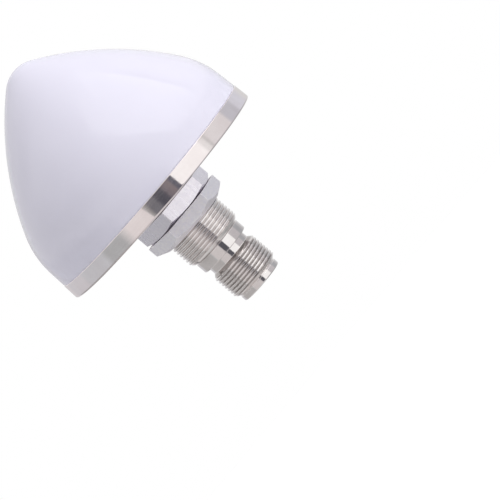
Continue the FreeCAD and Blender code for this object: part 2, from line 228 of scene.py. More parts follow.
def add(tree, kind, inputs, **settings):
    """Add a node and return its first output.

    An input given as a socket is linked, and any other value is set.
    """
    node = tree.nodes.new(kind)
    for label, value in settings.items():
        setattr(node, label, value)
    for label, value in inputs.items():
        if isinstance(value, bpy.types.NodeSocket):
            tree.links.new(value, node.inputs[label])
        else:
            node.inputs[label].default_value = value
    return node.outputs[0]


def calc(tree, operation, *values):
    """Add one arithmetic node."""
    return add(tree, "ShaderNodeMath", dict(enumerate(values)), operation=operation)


def object_place(tree):
    """The point on the piece, in metres."""
    return tree.nodes.new("ShaderNodeTexCoord").outputs["Object"]


def clouds(tree, place, scale, detail=2.0):
    """Soft noise of a given number of waves to the metre, about 0.5 on average."""
    return add(tree, "ShaderNodeTexNoise", {"Vector": place, "Scale": scale, "Detail": detail})


def spread(tree, value, low, high, start=0.3, end=0.7):
    """Map a value's range, a noise's usual one unless given, onto a range of numbers."""
    numbers = {"Value": value, "From Min": start, "From Max": end, "To Min": low, "To Max": high}
    return add(tree, "ShaderNodeMapRange", numbers)


def colour_mix(tree, share, first, second):
    """Mix two colours, each a socket or three numbers, by a share from 0 to 1."""
    node = tree.nodes.new("ShaderNodeMix")
    node.data_type = "RGBA"
    sockets = {"Factor": 0, "A": 6, "B": 7}
    for label, value in (("Factor", share), ("A", first), ("B", second)):
        socket = node.inputs[sockets[label]]
        if isinstance(value, bpy.types.NodeSocket):
            tree.links.new(value, socket)
        elif label == "Factor":
            socket.default_value = value
        else:
            socket.default_value = (*value, 1)
    return node.outputs[2]


def bump(tree, height, depth_mm, strength=1.0):
    """Turn a height map into a bent normal; the depth is that of a full swing from 0 to 1."""
    return add(tree, "ShaderNodeBump", {"Height": height, "Distance": depth_mm * mm, "Strength": strength})


def wire(tree, shader, **inputs):
    """Link sockets to the shader's inputs."""
    for label, value in inputs.items():
        tree.links.new(value, shader.inputs[label.replace("_", " ")])


def length_of(tree, x, y):
    """The square root of x squared + y squared."""
    return calc(tree, "SQRT", calc(tree, "ADD", calc(tree, "MULTIPLY", x, x), calc(tree, "MULTIPLY", y, y)))


def turned_place(tree, place, length_scale):
    """A point as (radius, small share of angle, height): the grain that a lathe leaves."""
    parts = add(tree, "ShaderNodeSeparateXYZ", {"Vector": place})
    x, y, z = parts.node.outputs
    radius = length_of(tree, x, y)
    turn = calc(tree, "MULTIPLY", calc(tree, "ARCTAN2", y, x), length_scale)
    return add(tree, "ShaderNodeCombineXYZ", {"X": radius, "Y": turn, "Z": z})


def plated(name, dark, light, gloss, worn_gloss, mark_mm, mark_waves, root_shade_tone=None):
    """Turned and plated metal: fine rings from the lathe under a soft mottle of the plating.

    A root shade tone, when given, is painted shade, mixed in by each point's stored root shade.
    """
    material, tree, shader = new_finish(name, Metallic=1.0)
    place = object_place(tree)
    mottle = clouds(tree, place, 260.0, 3.0)
    rings = clouds(tree, turned_place(tree, place, 0.0006), mark_waves, 3.0)
    tone = colour_mix(tree, spread(tree, mottle, 0.0, 1.0), dark, light)
    # Painted shade: the tone falls towards the root shade tone in thread roots and joint grooves.
    if root_shade_tone:
        shade_layer = tree.nodes.new("ShaderNodeAttribute")
        shade_layer.attribute_name = "painted_root_shade"
        tone = colour_mix(tree, shade_layer.outputs["Fac"], tone, root_shade_tone)
    wire(tree, shader,
         Base_Color=tone,
         Roughness=spread(tree, rings, gloss, worn_gloss),
         Normal=bump(tree, calc(tree, "ADD", rings, calc(tree, "MULTIPLY", mottle, 0.35)), mark_mm))
    return material


# The last tone is painted shade for the thread roots and the joint groove.
nickel = plated("turned_nickel", (0.86, 0.82, 0.805), (0.93, 0.895, 0.885), 0.06, 0.12, 0.0008, 2600.0,
                (0.44, 0.41, 0.40))

socket_angles = round_columns(192)
socket_section = column_section(
    (socket_bore_r + mouth_bevel, 0),
    (pilot_r, 0),
    (pilot_r, pilot_len),
    (groove_r, pilot_len),
    (groove_r, groove_top),
    (groove_r + edge_break, groove_top),
    (mate_thread_r, lead_in_top),
    (mate_thread_r, mate_thread_top),
    (shank_r, run_out_top),
    (shank_r, collar_foot),
    (collar_r - collar_bevel, collar_foot),
    (collar_r, collar_foot + collar_bevel),
    (collar_r, collar_edge),
    (collar_r - joint_depth, collar_edge + joint_slope),
    (collar_r - joint_depth, collar_top),
    (spigot_r, collar_top),
    (spigot_r, seal_mid - seal_groove_half),
    (seal_groove_r, seal_mid - seal_groove_half),
    (seal_groove_r, seal_mid + seal_groove_half),
    (spigot_r, seal_mid + seal_groove_half),
    (spigot_r, spigot_top),
    (rear_bore_r, spigot_top),
    (rear_bore_r, bead_foot),
    (air_bore_r, bead_foot),
    (air_bore_r, seat_depth),
    (socket_bore_r, seat_depth),
    (socket_bore_r, mouth_bevel),
)
socket_ease = [0.08, pilot_round, 0.1, 0.05, 0.05, 0.02, 0.1, 0.1, 0.2, 0.15, 0.1, 0.12]
socket_ease += [0.1, 0.1, 0.1, 0.05, 0.05, 0.05, 0.05, 0.05, 0.1, 0.1, 0.05, 0.05, 0.1, 0.05, 0.08]
socket_rows = eased(socket_section, socket_ease)
socket_rows = divided(socket_rows, mate_thread_pitch / pitch_steps, groove_top, run_out_top)
socket_rows = threaded(socket_rows, socket_angles, groove_top, run_out_top,
                       mate_thread_r, mate_thread_pitch, mate_thread_start)
socket_body = skinned("socket_body", swept(socket_rows, socket_angles))
# Painted shade down the coupling thread's roots, a little over its crests, and in the joint groove at the
# collar's top.
mark_painted_shade(socket_body, socket_rows,
              (lead_in_top, run_out_top, mate_shade_r), (collar_edge, collar_top, collar_r))
seat(socket_body, nickel, "connector_shell")


# Rubber seals: lathe-cut square rings of black rubber, one round the socket's
# spigot, one under the stem's flange and one under the dome's lip. They lie
# loose in their grooves until the joint squeezes them.
def clouded(name, waves, detail, dark, light, gloss, worn_gloss, depth_mm, **numbers):
    """A finish whose tone, gloss and surface all follow one soft noise."""
    material, tree, shader = new_finish(name, **numbers)
    bloom = clouds(tree, object_place(tree), waves, detail)
    wire(tree, shader,
         Base_Color=colour_mix(tree, spread(tree, bloom, 0.0, 1.0), dark, light),
         Roughness=spread(tree, bloom, gloss, worn_gloss),
         Normal=bump(tree, bloom, depth_mm))
    return material


def finish_nodes(material, *nodes):
    """Give solids that already have their right shape their finish."""
    for node in nodes:
        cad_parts[node].material_slots[0].material = material


rubber = clouded("seal_rubber", 700.0, 4.0, (0.022, 0.022, 0.024), (0.05, 0.05, 0.052), 0.5, 0.72, 0.01,
                 Specular_IOR_Level=0.35)
finish_nodes(rubber, "connector_seal", "stem_seal", "radome_seal")


# Bead and centre contact: a machined white fluoroplastic bead holds the contact
# on the axis. The contact is turned from springy copper alloy, slotted into
# four fingers and gold plated.
bead_white, tree, shader = new_finish("bead_fluoroplastic", Subsurface_Weight=0.15, Subsurface_Scale=0.0006)
bead_rings = clouds(tree, turned_place(tree, object_place(tree), 0.001), 1500.0, 3.0)
bead_tone = colour_mix(tree, spread(tree, bead_rings, 0.0, 1.0), (0.86, 0.86, 0.83), (0.92, 0.92, 0.90))
wire(tree, shader,
     Base_Color=bead_tone,
     Roughness=spread(tree, bead_rings, 0.38, 0.55),
     Normal=bump(tree, bead_rings, 0.004))
gold = plated("contact_gold", (0.86, 0.60, 0.24), (0.96, 0.74, 0.36), 0.14, 0.24, 0.001, 2600.0)
finish_nodes(bead_white, "contact_insulator", "lead_insulation")
finish_nodes(gold, "centre_contact")


# Stiff coaxial lead: silvered wire, white insulation and a copper tube, with a
# turned brass ferrule pressed in behind the bead. It is soldered to the board
# at its upper end.
brass = plated("turned_brass", (0.72, 0.52, 0.22), (0.84, 0.66, 0.34), 0.18, 0.30, 0.0015, 2200.0)
copper = plated("drawn_copper", (0.78, 0.42, 0.28), (0.90, 0.56, 0.40), 0.22, 0.36, 0.001, 1800.0)
silvered = plated("silvered_wire", (0.80, 0.80, 0.78), (0.90, 0.90, 0.88), 0.16, 0.26, 0.001, 2400.0)
finish_nodes(brass, "lead_ferrule")
finish_nodes(copper, "lead_sleeve")
finish_nodes(silvered, "lead_core")


# Stem: brass tube threaded from end to end, with a flange inside the base and
# a counterbore that takes the socket's spigot. Turned, thread rolled, and
# nickel plated like the socket.
stem_r = 9.35
stem_pitch = 1.1
stem_thread_h = stem_pitch * math.sqrt(3) / 2
stem_pitch_r = stem_r - stem_thread_h * 3 / 8
stem_shade_r = stem_r - 0.08
stem_bore_r = 4.5
slip_gap = 0.05
stem_counterbore_r = spigot_r + slip_gap
stem_end_bevel = 0.9
lower_nut_foot = 24.7
nut_joint = 29.4
boss_foot = 34.2
floor_top = 38.2
flange_r = 12.6
flange_top = 39.8
counterbore_top = spigot_top + slip_gap

stem_angles = round_columns(224)
stem_section = column_section(
    (stem_counterbore_r, collar_top),
    (stem_r - stem_end_bevel, collar_top),
    (stem_r, collar_top + stem_end_bevel),
    (stem_r, lower_nut_foot - (stem_r - stem_pitch_r)),
    (stem_pitch_r, lower_nut_foot),
    (stem_pitch_r, boss_foot),
    (stem_r, boss_foot + (stem_r - stem_pitch_r)),
    (stem_r, floor_top),
    (flange_r, floor_top),
    (flange_r, flange_top),
    (stem_bore_r, flange_top),
    (stem_bore_r, counterbore_top),
    (stem_counterbore_r, counterbore_top),
)
stem_ease = [0.3, 0.12, 0.1, 0.05, 0.05, 0.05, 0.05, 0.1, 0.1, edge_break, 0.1, 0.1, 0.1]
stem_rows = divided(eased(stem_section, stem_ease), stem_pitch / pitch_steps, collar_top, lower_nut_foot)
stem_rows = threaded(stem_rows, stem_angles, collar_top, lower_nut_foot, stem_r, stem_pitch)
stem = skinned("threaded_stem", swept(stem_rows, stem_angles))
# Painted shade down the stem thread's roots.
mark_painted_shade(stem, stem_rows, (collar_top + stem_end_bevel, lower_nut_foot, stem_shade_r))
seat(stem, nickel, "stem")


# Nuts: two hexagon nuts cut from drawn aluminium bar, each with a cone turned
# on its lower end. The upper one pulls the stem's flange down on the base, and
# the lower one clamps the bracket that the antenna stands on.
half_flats = 11.65
nut_edge_round = 0.3
nut_bore_r = stem_pitch_r + slip_gap
nut_bore_bevel = 0.3
bearing_r = 10.0
lower_face_r = stem_r + 0.95
lower_cone_deg = 29.0
lower_turn_deg = 3.1
lower_step = 0.1
upper_face_r = half_flats - 0.3
upper_cone_deg = 24.0
upper_turn_deg = 14.6
upper_step = 0.2


def hexagon_outline(turn_deg, flat_columns=26, corner_columns=6):
    """Angle and radius of points round a hexagon with rounded edges.

    In the frame of one side, the flat runs at x = half the width across flats,
    over y = -t to t with t = (x - edge round) tan 30. The edge is an arc of 60
    degrees about (x - edge round, t). The six sides are turned 60 degrees apart.
    """
    reach = (half_flats - nut_edge_round) * math.tan(math.pi / 6)
    along = np.sin(np.linspace(-1, 1, flat_columns) * math.pi / 2) * reach
    flat = np.stack([np.full(flat_columns, half_flats), along], axis=-1)
    bend = np.linspace(0, math.pi / 3, corner_columns + 1)[1:-1]
    corner = np.stack([np.cos(bend), np.sin(bend)], axis=-1) * nut_edge_round
    corner += (half_flats - nut_edge_round, reach)
    side = np.concatenate([flat, corner])
    angle = np.arctan2(side[:, 1], side[:, 0])
    turns = math.radians(turn_deg) + math.pi / 6 + np.arange(6)[:, None] * math.pi / 3
    return (angle + turns).ravel(), np.tile(np.linalg.norm(side, axis=1), 6)


def nut_surface(foot, top, face_r, cone_deg, turn_deg, top_step):
    """Sections of a nut, one for each point of its outline.

    The cone meets the outline at the height foot + (radius - face radius) tan
    (cone angle), so its edge rises towards the corners in the usual arches. The
    top is a step lower outside its round bearing face.
    """
    angles, radii = hexagon_outline(turn_deg)
    edge_height = foot + (radii - face_r) * math.tan(math.radians(cone_deg))
    mouth_r = nut_bore_r + nut_bore_bevel
    corners = (
        (mouth_r, foot),
        (face_r, foot),
        (radii, edge_height),
        (radii, top - top_step),
        (bearing_r, top - top_step),
        (bearing_r, top),
        (mouth_r, top),
        (nut_bore_r, top - nut_bore_bevel),
        (nut_bore_r, foot + nut_bore_bevel),
    )
    section = np.array([np.broadcast_arrays(radius, height, radii)[:2] for radius, height in corners])
    nut_ease = [0.05, 0.12, 0.07, 0.12, 0.05, 0.05, 0.05, 0.05, 0.05]
    return swept(eased(section.transpose(0, 2, 1), nut_ease), angles)


def drawn_alloy(name, dark, light, gloss, worn_gloss):
    """Drawn bar: fine lines along the bar under a soft mottle."""
    material, tree, shader = new_finish(name, Metallic=1.0)
    place = object_place(tree)
    along = add(tree, "ShaderNodeVectorMath", {0: place, 1: (1.0, 1.0, 0.05)}, operation="MULTIPLY")
    draw_lines = clouds(tree, along, 1700.0, 3.0)
    mottle = clouds(tree, place, 1500.0, 4.0)
    wire(tree, shader,
         Base_Color=colour_mix(tree, spread(tree, mottle, 0.0, 1.0), dark, light),
         Roughness=spread(tree, draw_lines, gloss, worn_gloss),
         Normal=bump(tree, calc(tree, "ADD", draw_lines, calc(tree, "MULTIPLY", mottle, 0.5)), 0.004))
    return material


# The nuts are of one aluminium; the lower nut's lighter, near-white tone is painted light, making up for
# the light that the base plate keeps off it.
dull_alloy_painted_light = drawn_alloy("dull_alloy_painted_light", (0.92, 0.905, 0.975), (1.0, 0.985, 1.0), 0.42, 0.54)
satin_alloy = drawn_alloy("satin_alloy", (0.88, 0.845, 0.915), (0.97, 0.935, 0.985), 0.25, 0.34)
lower_shape = nut_surface(lower_nut_foot, nut_joint, lower_face_r,
                          lower_cone_deg, lower_turn_deg, lower_step)
lower_nut = skinned("lower_nut", lower_shape)
seat(lower_nut, dull_alloy_painted_light, "mounting_nut")
upper_shape = nut_surface(nut_joint, boss_foot, upper_face_r,
                          upper_cone_deg, upper_turn_deg, upper_step)
upper_nut = skinned("upper_nut", upper_shape)
seat(upper_nut, satin_alloy, "retaining_nut")


# Base plate: one plate turned from bar, with the boss that the upper nut bears
# on and a cup for the dome's lip. Its rim is polished to a mirror and nickel
# plated.
hub_r = 9.45
boss_r = 13.5
rim_foot = 35.8
rim_top = 40.55
base_r = 36.0
rim_draft = 0.2
rim_round = 0.45
cup_r = 34.05
lip_inner_r = 32.25
radome_groove_floor = 37.4
stem_seal_inner_r = 10.275
stem_seal_outer_r = 11.775
stem_groove_floor = 36.95

polished = plated("polished_nickel", (0.90, 0.83, 0.82), (0.95, 0.89, 0.88), 0.05, 0.10, 0.0004, 1800.0)

plate_section = column_section(
    (hub_r, boss_foot),
    (boss_r, boss_foot),
    (boss_r, rim_foot),
    (base_r, rim_foot),
    (base_r - rim_draft, rim_top),
    (cup_r, rim_top),
    (cup_r, radome_groove_floor),
    (lip_inner_r, radome_groove_floor),
    (lip_inner_r, floor_top),
    (stem_seal_outer_r, floor_top),
    (stem_seal_outer_r, stem_groove_floor),
    (stem_seal_inner_r, stem_groove_floor),
    (stem_seal_inner_r, floor_top),
    (hub_r, floor_top),
)
plate_ease = [0.1, edge_break, 0.1, rim_round, edge_break] + [0.1] * 9
base_plate = skinned("polished_base", swept(eased(plate_section, plate_ease, 6), round_columns(384)))
seat(base_plate, polished, "base_plate")


# Circuit board and what stands on it: fibreglass board with a green mask, held
# by slotted steel screws on brass posts. A tinned lid covers the amplifier on
# its underside, and a sticky pad holds the square ceramic aerial on top.
board_mask, tree, shader = new_finish("board_mask", Specular_IOR_Level=0.5)
place = object_place(tree)
weave_tones = {"Color1": (0.2, 0.2, 0.2, 1), "Color2": (0.8, 0.8, 0.8, 1)}
glass_weave = add(tree, "ShaderNodeTexBrick", {"Vector": place, "Scale": 900.0, **weave_tones})
track_cells = clouds(tree, place, 240.0, 1.0)
tracks = calc(tree, "GREATER_THAN", calc(tree, "FRACT", calc(tree, "MULTIPLY", track_cells, 9.0)), 0.6)
mask_green = colour_mix(tree, tracks, (0.012, 0.13, 0.055), (0.03, 0.23, 0.10))
wire(tree, shader,
     Base_Color=mask_green,
     Roughness=spread(tree, glass_weave, 0.30, 0.36, 0.0, 1.0),
     Normal=bump(tree, calc(tree, "ADD", tracks, calc(tree, "MULTIPLY", glass_weave, 0.2)), 0.03))
finish_nodes(board_mask, "circuit_board")
finish_nodes(brass, "board_posts", "feed_pin")

screw_steel = plated("zinc_steel", (0.60, 0.60, 0.58), (0.72, 0.72, 0.71), 0.24, 0.40, 0.002, 2600.0)
finish_nodes(screw_steel, "board_screws")

tinned, tree, shader = new_finish("tinned_sheet", Metallic=1.0)
place = object_place(tree)
along_x = add(tree, "ShaderNodeVectorMath", {0: place, 1: (0.08, 1.0, 1.0)}, operation="MULTIPLY")
rolled = clouds(tree, along_x, 1400.0)
tin_cloud = clouds(tree, place, 160.0, 4.0)
wire(tree, shader,
     Base_Color=colour_mix(tree, spread(tree, tin_cloud, 0.0, 1.0), (0.66, 0.66, 0.64), (0.80, 0.80, 0.78)),
     Roughness=spread(tree, rolled, 0.24, 0.42),
     Normal=bump(tree, calc(tree, "ADD", rolled, tin_cloud), 0.004))
finish_nodes(tinned, "shield_can")

foam = clouded("pad_foam", 2600.0, 2.0, (0.05, 0.05, 0.05), (0.13, 0.13, 0.13), 0.8, 0.95, 0.05,
               Specular_IOR_Level=0.2)
finish_nodes(foam, "patch_pad")

patch_top = 51.2
patch_half = 12.5
silver_margin = 1.1
silver_skin = 0.05
fired, tree, shader = new_finish("fired_ceramic")
place = object_place(tree)
parts = add(tree, "ShaderNodeSeparateXYZ", {"Vector": place})
x, y, z = parts.node.outputs
silvered_face = calc(tree, "MULTIPLY",
                     calc(tree, "GREATER_THAN", z, (patch_top - silver_skin) * mm),
                     calc(tree, "LESS_THAN",
                          calc(tree, "MAXIMUM", calc(tree, "ABSOLUTE", x), calc(tree, "ABSOLUTE", y)),
                          (patch_half - silver_margin) * mm))
grains = clouds(tree, place, 900.0, 4.0)
ceramic_tone = colour_mix(tree, spread(tree, grains, 0.0, 1.0), (0.62, 0.55, 0.44), (0.74, 0.68, 0.57))
silver_tone = colour_mix(tree, spread(tree, grains, 0.0, 1.0), (0.74, 0.74, 0.72), (0.86, 0.86, 0.84))
wire(tree, shader,
     Base_Color=colour_mix(tree, silvered_face, ceramic_tone, silver_tone),
     Metallic=silvered_face,
     Roughness=spread(tree, grains, 0.34, 0.5),
     Normal=bump(tree, calc(tree, "ADD", grains, silvered_face), 0.01))
finish_nodes(fired, "ceramic_patch")

moulded = clouded("moulded_chip", 3800.0, 3.0, (0.018, 0.018, 0.02), (0.05, 0.05, 0.052), 0.42, 0.6, 0.01,
                  Specular_IOR_Level=0.4)
chip_ceramic = clouded("chip_ceramic", 3000.0, 3.0, (0.46, 0.34, 0.22), (0.62, 0.50, 0.36),
                       0.4, 0.55, 0.008)
finish_nodes(moulded, "amplifier_chip", "regulator_chip")
finish_nodes(chip_ceramic, "filter_chip", "chip_parts")


# Dome: weatherproof white plastic, injection moulded in one with the lip that
# drops into the base plate, and glossy all over. Its outside is three arcs,
# for nose, flank and shoulder, over a short straight skirt.
radome_foot_r = 35.7
wall = 2.2
nose_r = 9.1
flank_r = 86.5
flank_foot = math.radians(61.35)
shoulder_r = 26.0
skirt_h = 5.1
draft = math.radians(2.3)
lip_r = 33.95
lip_foot = 38.85
lip_root = 1.9
foot_seam = 0.17
seam_bevel = 0.08
seam_edge = 0.02
inner_step = 1.0
inner_draft_h = lip_root + 0.4

shoulder_end = math.pi / 2 - draft
shoulder_x = radome_foot_r - skirt_h * math.tan(draft) - shoulder_r * math.sin(shoulder_end)
shoulder_z = rim_top + skirt_h - shoulder_r * math.cos(shoulder_end)
flank_x = shoulder_x - (flank_r - shoulder_r) * math.sin(flank_foot)
flank_z = shoulder_z - (flank_r - shoulder_r) * math.cos(flank_foot)
nose_end = math.asin(-flank_x / (flank_r - nose_r))
nose_z = flank_z + (flank_r - nose_r) * math.cos(nose_end)


def dome_curve(inset, counts):
    """Points down the dome's side: three arcs that share their tangents.

    Each arc is (centre x + R sin a, centre z + R cos a), with R its radius
    less the inset and the angle a running from the nose's level tangent to
    the skirt's.
    """
    arcs = ((0.0, nose_z, nose_r, 0.0, nose_end),
            (flank_x, flank_z, flank_r, nose_end, flank_foot),
            (shoulder_x, shoulder_z, shoulder_r, flank_foot, shoulder_end))
    rows = []
    for (centre_x, centre_z, radius, start, end), count in zip(arcs, counts):
        angle = np.linspace(start, end, count + 1)[1:]
        rows.append(np.stack([centre_x + (radius - inset) * np.sin(angle),
                              centre_z + (radius - inset) * np.cos(angle)], axis=-1))
    return np.concatenate(rows)


inner_wall_r = radome_foot_r - wall / math.cos(draft)
inner_wall_foot = rim_top + lip_root + inner_step
foot_corners = column_section(
    (inner_wall_r, inner_wall_foot + inner_step),
    (inner_wall_r - inner_draft_h * math.tan(draft), inner_wall_foot),
    (lip_inner_r, rim_top + lip_root),
    (lip_inner_r, lip_foot),
    (lip_r, lip_foot),
    (lip_r, rim_top),
    (radome_foot_r - foot_seam, rim_top),
    (radome_foot_r - foot_seam, rim_top + foot_seam),
    (radome_foot_r - seam_edge, rim_top + foot_seam + seam_bevel),
    (radome_foot_r - skirt_h * 0.5 * math.tan(draft), rim_top + skirt_h * 0.5),
)
rows_per_corner = 7
foot_rows = eased(foot_corners, [0.1, 0.3, 0.3, 0.1, 0.1, 0.1, 0.03, 0.03, 0.06, 0.05])
foot_rows = foot_rows[rows_per_corner:-rows_per_corner, 0]
inner_rows = dome_curve(wall, (10, 30, 20))
outer_rows = dome_curve(0.0, (24, 60, 40))[::-1]
dome_rows = np.concatenate([inner_rows, foot_rows, outer_rows])[:, None, :]
dome_angles = round_columns(320)
dome_points = swept(dome_rows, dome_angles)

ring_count, column_count = dome_points.shape[:2]
dome_index = np.arange(ring_count * column_count).reshape(ring_count, column_count) + 2
dome_beside = np.roll(dome_index, -1, axis=1)
dome_quads = np.stack([dome_index[:-1], dome_beside[:-1], dome_beside[1:], dome_index[1:]], axis=-1)
inner_fan = np.stack([np.zeros(column_count, int), dome_beside[0], dome_index[0]], axis=-1)
outer_fan = np.stack([dome_index[-1], dome_beside[-1], np.ones(column_count, int)], axis=-1)
inner_pole = (0.0, 0.0, (nose_z + nose_r - wall) * mm)
outer_pole = (0.0, 0.0, (nose_z + nose_r) * mm)
dome_faces = dome_quads.reshape(-1, 4).tolist() + inner_fan[:, ::-1].tolist() + outer_fan.tolist()
dome_points = np.concatenate([[inner_pole, outer_pole], dome_points.reshape(-1, 3)])
dome = piece_from("white_dome", dome_points, dome_faces)

dome_plastic, tree, shader = new_finish("dome_plastic", IOR=1.5)
place = object_place(tree)
moulding_cloud = clouds(tree, place, 45.0, 2.0)
orange_peel = clouds(tree, place, 620.0, 2.0)
dome_white = colour_mix(tree, spread(tree, moulding_cloud, 0.0, 1.0),
                        (0.855, 0.833, 0.968), (0.865, 0.843, 0.978))
dome_waves = calc(tree, "ADD", calc(tree, "MULTIPLY", orange_peel, 0.06), moulding_cloud)
wire(tree, shader,
     Base_Color=dome_white,
     Roughness=spread(tree, orange_peel, 0.035, 0.055),
     Normal=bump(tree, dome_waves, 0.010))
seat(dome, dome_plastic, "radome")


# Floor: a wide plain pale sheet far under the part. It takes the part's soft
# shadow, and is lifted to white where the camera sees it.
floor_depth = 1.2
floor_r = 9.0
floor_sides = 96
floor_angles = round_columns(floor_sides)
floor_points = np.zeros((floor_sides + 1, 3))
floor_points[1:, 0] = np.cos(floor_angles) * floor_r
floor_points[1:, 1] = np.sin(floor_angles) * floor_r
floor_points[:, 2] = -floor_depth
floor_rim = np.arange(floor_sides) + 1
floor_faces = np.stack([np.zeros(floor_sides, int), floor_rim, np.roll(floor_rim, -1)], axis=-1)
floor = piece_from("floor", floor_points, floor_faces.tolist())
floor.visible_glossy = False

floor_paper, tree, shader = new_finish("floor_paper", Roughness=0.9, Specular_IOR_Level=0.0,
                                       Emission_Color=(1, 1, 1, 1))
paper_cloud = clouds(tree, object_place(tree), 6.0)
light_path = tree.nodes.new("ShaderNodeLightPath")
wire(tree, shader,
     Base_Color=colour_mix(tree, paper_cloud, (0.88, 0.88, 0.88), (0.92, 0.92, 0.92)),
     Emission_Strength=calc(tree, "MULTIPLY", light_path.outputs["Is Camera Ray"], 0.45))
floor.data.materials.append(floor_paper)


# Light: a white room. The polished metal sees the room's walls, which are grey
# with one bright window, and the dome sees one large soft panel to the right.
# Angles are from the camera's side towards the right, in degrees.
def grey(value, red=0.0, blue=0.0):
    """A grey with a little red or blue in it."""
    return (value + red, value, value + blue, 1)


wall_bands = (
    (-180, grey(0.62, 0.02, 0.02)), (-158, grey(0.62, 0.02, 0.02)), (-152, grey(0.60, 0.0, 0.03)),
    (-119, grey(0.60, 0.0, 0.03)), (-113, grey(0.56, -0.02, 0.03)), (-79, grey(0.55, -0.02, 0.03)),
    (-73, grey(0.44, -0.02, 0.01)), (-52, grey(0.44, -0.02, 0.01)), (-41, grey(0.71, 0.03, 0.0)),
    (16, grey(0.71, 0.03, 0.0)), (18, grey(1.0)), (56, grey(1.0)), (59, grey(0.80)), (63, grey(0.80)),
    (64, grey(0.60)), (66, grey(0.60)), (68, grey(0.73, 0.01, 0.01)), (97, grey(0.73, 0.01, 0.01)),
    (101, grey(0.55, -0.01, 0.05)), (119, grey(0.55, -0.01, 0.05)), (124, grey(0.69, -0.02, 0.07)),
    (140, grey(0.69, -0.02, 0.07)), (158, grey(0.70)), (180, grey(0.70)),
)

scene = bpy.context.scene
world = bpy.data.worlds.new("room")
scene.world = world
world.use_nodes = True
world.cycles.sampling_method = "NONE"
tree = world.node_tree
direction = tree.nodes.new("ShaderNodeTexCoord").outputs["Generated"]
parts = add(tree, "ShaderNodeSeparateXYZ", {"Vector": direction})
x, y, z = parts.node.outputs
azimuth = calc(tree, "MULTIPLY", calc(tree, "ARCTAN2", x, calc(tree, "MULTIPLY", y, -1.0)), 360 / full_turn)
elevation = calc(tree, "MULTIPLY", calc(tree, "ARCSINE", z), 360 / full_turn)


def banded(tree, share, bands, low, high):
    """Tones that run from band to band; a band's place between low and high is its share."""
    ramp = tree.nodes.new("ShaderNodeValToRGB")
    tree.links.new(share, ramp.inputs["Fac"])
    stops = ramp.color_ramp.elements
    while len(stops) < len(bands):
        stops.new(1.0)
    for stop, (at, tone) in zip(stops, bands):
        stop.position = (at - low) / (high - low)
        stop.color = tone
    return ramp.outputs["Color"]


def fade(tree, value, start, end):
    """A share that climbs smoothly from 0 at the start to 1 at the end."""
    numbers = {"Value": value, "From Min": start, "From Max": end, "To Min": 0.0, "To Max": 1.0}
    return add(tree, "ShaderNodeMapRange", numbers, interpolation_type="SMOOTHSTEP")


def curve(tree, value, constant, slope, bend):
    """constant + slope value + bend value squared."""
    lean = calc(tree, "ADD", calc(tree, "MULTIPLY", value, bend), slope)
    return calc(tree, "ADD", calc(tree, "MULTIPLY", lean, value), constant)


def grey_of(tree, level):
    """A grey whose level is a node's output."""
    return add(tree, "ShaderNodeCombineColor", {"Red": level, "Green": level, "Blue": level})


def product(tree, *values):
    """Multiply several shares."""
    result = values[0]
    for value in values[1:]:
        result = calc(tree, "MULTIPLY", result, value)
    return result


round_share = calc(tree, "ADD", calc(tree, "DIVIDE", azimuth, 360.0), 0.5)
walls = banded(tree, round_share, wall_bands, -180, 180)

# The upper room as a round map: the distance from its middle is the angle from
# straight up, and right and away are its two axes, all in degrees.
from_top = calc(tree, "SUBTRACT", 90.0, elevation)
level_len = length_of(tree, x, y)
right = calc(tree, "DIVIDE", calc(tree, "MULTIPLY", from_top, x), level_len)
away = calc(tree, "DIVIDE", calc(tree, "MULTIPLY", from_top, y), level_len)

# The soft panel's three curved sides are given as the way in from each. It is
# brighter towards the camera and along its rims.
panel_soft = 0.7
bottom_start = calc(tree, "SUBTRACT", right, 13.0)
past_left = calc(tree, "SUBTRACT", right, curve(tree, away, 27.3, 0.25, -0.0063))
below_top = calc(tree, "SUBTRACT", curve(tree, right, 19.0, 0.0, -0.00115), away)
above_bottom = calc(tree, "SUBTRACT", away, curve(tree, bottom_start, -33.0, -0.85, 0.0093))
panel = product(tree, fade(tree, past_left, -panel_soft, panel_soft),
                fade(tree, below_top, -panel_soft, panel_soft),
                fade(tree, above_bottom, -panel_soft, panel_soft), fade(tree, from_top, 90.0, 86.0))
panel_level = calc(tree, "ADD", calc(tree, "MULTIPLY", fade(tree, away, -5.0, -32.0), 0.38), 1.24)
left_rim = product(tree, fade(tree, past_left, 2.6, 1.2), fade(tree, away, 18.0, -4.0))
top_rim = fade(tree, below_top, 2.8, 1.2)
low_rim = fade(tree, above_bottom, 2.4, 1.2)
inner_rim = product(tree, fade(tree, above_bottom, 3.4, 4.6), fade(tree, above_bottom, 7.4, 5.8),
                    fade(tree, right, 62.0, 50.0))
rims = calc(tree, "MAXIMUM", calc(tree, "MAXIMUM", left_rim, calc(tree, "MULTIPLY", top_rim, 0.5)),
            calc(tree, "MAXIMUM", low_rim, inner_rim))
panel_level = calc(tree, "ADD", panel_level, calc(tree, "MULTIPLY", rims, 0.75))

